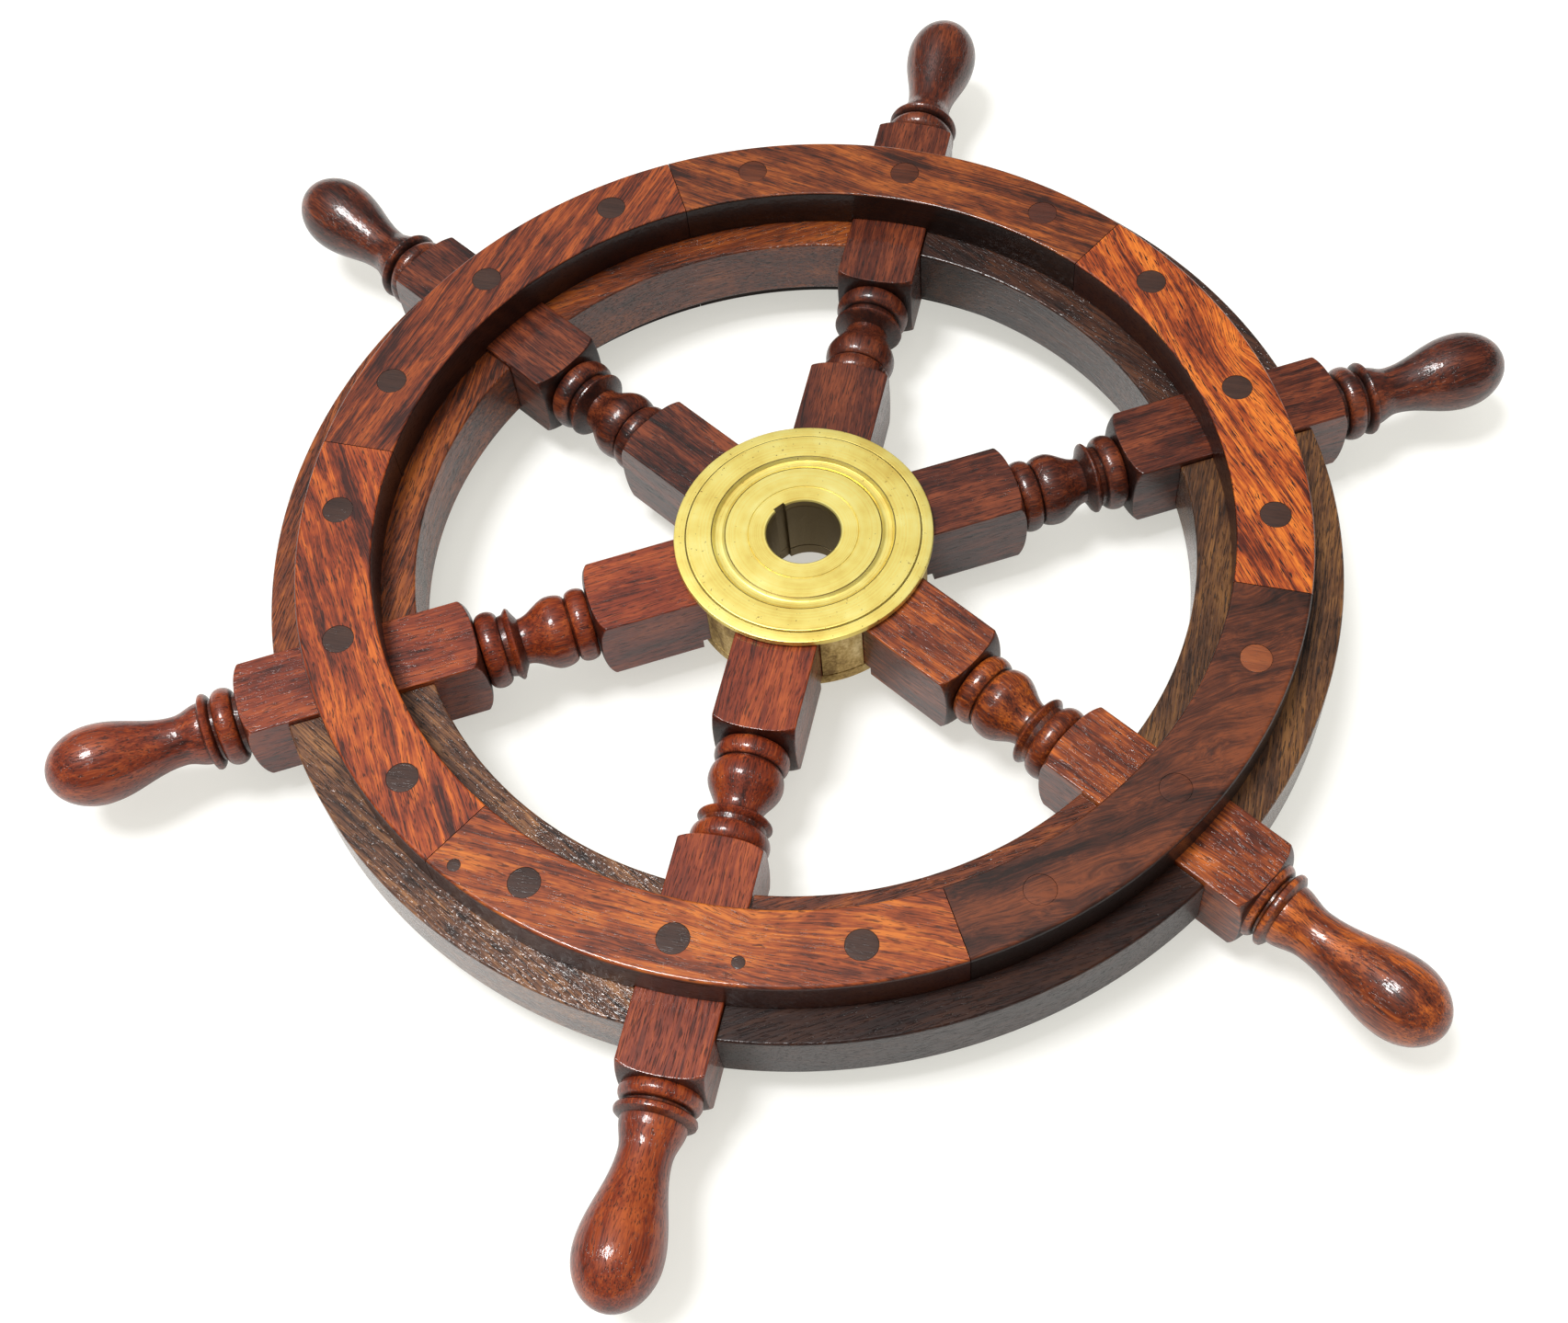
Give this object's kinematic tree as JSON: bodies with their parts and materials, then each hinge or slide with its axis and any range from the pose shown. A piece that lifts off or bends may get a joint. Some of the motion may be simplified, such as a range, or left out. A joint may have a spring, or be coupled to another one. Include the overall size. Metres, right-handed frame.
{
  "type": "ship steering wheel",
  "caption": "Turned wooden ship's steering wheel with spoke handles, a laminated segmented rim and a keyed brass hub.",
  "frame": {"origin": "on the wheel's axis, in the plane of the back ring's outer face, which is the face the wheel lies on", "axes": "+Z along the wheel's axis out of the front face; one pair of opposite spokes lies along Y"},
  "size_m": [0.5314, 0.61, 0.0625],
  "materials": {
    "spoke_wood": "gloss lacquer, red-brown rosewood",
    "felloe_wood": "gloss lacquer, dark brown open grain",
    "ring_wood": "satin lacquer, orange-brown rosewood",
    "peg_wood": "satin lacquer, grey-brown end grain",
    "polished_brass": "turned and polished, lightly tarnished",
    "cast_brass": "dull as cast"
  },
  "bodies": {
    "root": {"spoke_1": "spoke_wood", "spoke_2": "spoke_wood", "spoke_3": "spoke_wood", "spoke_4": "spoke_wood", "spoke_5": "spoke_wood", "spoke_6": "spoke_wood", "felloe_1": "felloe_wood", "felloe_2": "felloe_wood", "felloe_3": "felloe_wood", "felloe_4": "felloe_wood", "felloe_5": "felloe_wood", "felloe_6": "felloe_wood", "front_ring_segment_1": "ring_wood", "front_ring_segment_2": "ring_wood", "front_ring_segment_3": "ring_wood", "front_ring_segment_4": "ring_wood", "front_ring_segment_5": "ring_wood", "front_ring_segment_6": "ring_wood", "back_ring_segment_1": "ring_wood", "back_ring_segment_2": "ring_wood", "back_ring_segment_3": "ring_wood", "back_ring_segment_4": "ring_wood", "back_ring_segment_5": "ring_wood", "back_ring_segment_6": "ring_wood", "rim_peg_01": "peg_wood", "rim_peg_02": "peg_wood", "rim_peg_03": "peg_wood", "rim_peg_04": "peg_wood", "rim_peg_05": "peg_wood", "rim_peg_06": "peg_wood", "rim_peg_07": "peg_wood", "rim_peg_08": "peg_wood", "rim_peg_09": "peg_wood", "rim_peg_10": "peg_wood", "rim_peg_11": "peg_wood", "rim_peg_12": "peg_wood", "rim_peg_13": "peg_wood", "rim_peg_14": "peg_wood", "rim_peg_15": "peg_wood", "rim_peg_16": "peg_wood", "rim_peg_17": "peg_wood", "rim_peg_18": "peg_wood", "filler_plug_1": "peg_wood", "filler_plug_2": "peg_wood", "hub_front_plate": "polished_brass", "hub_drum": "cast_brass", "hub_back_plate": "cast_brass", "hub_screw_1": "cast_brass", "hub_screw_2": "cast_brass", "hub_screw_3": "cast_brass", "hub_screw_4": "cast_brass", "hub_screw_5": "cast_brass", "hub_screw_6": "cast_brass"}
  },
  "joints": []
}
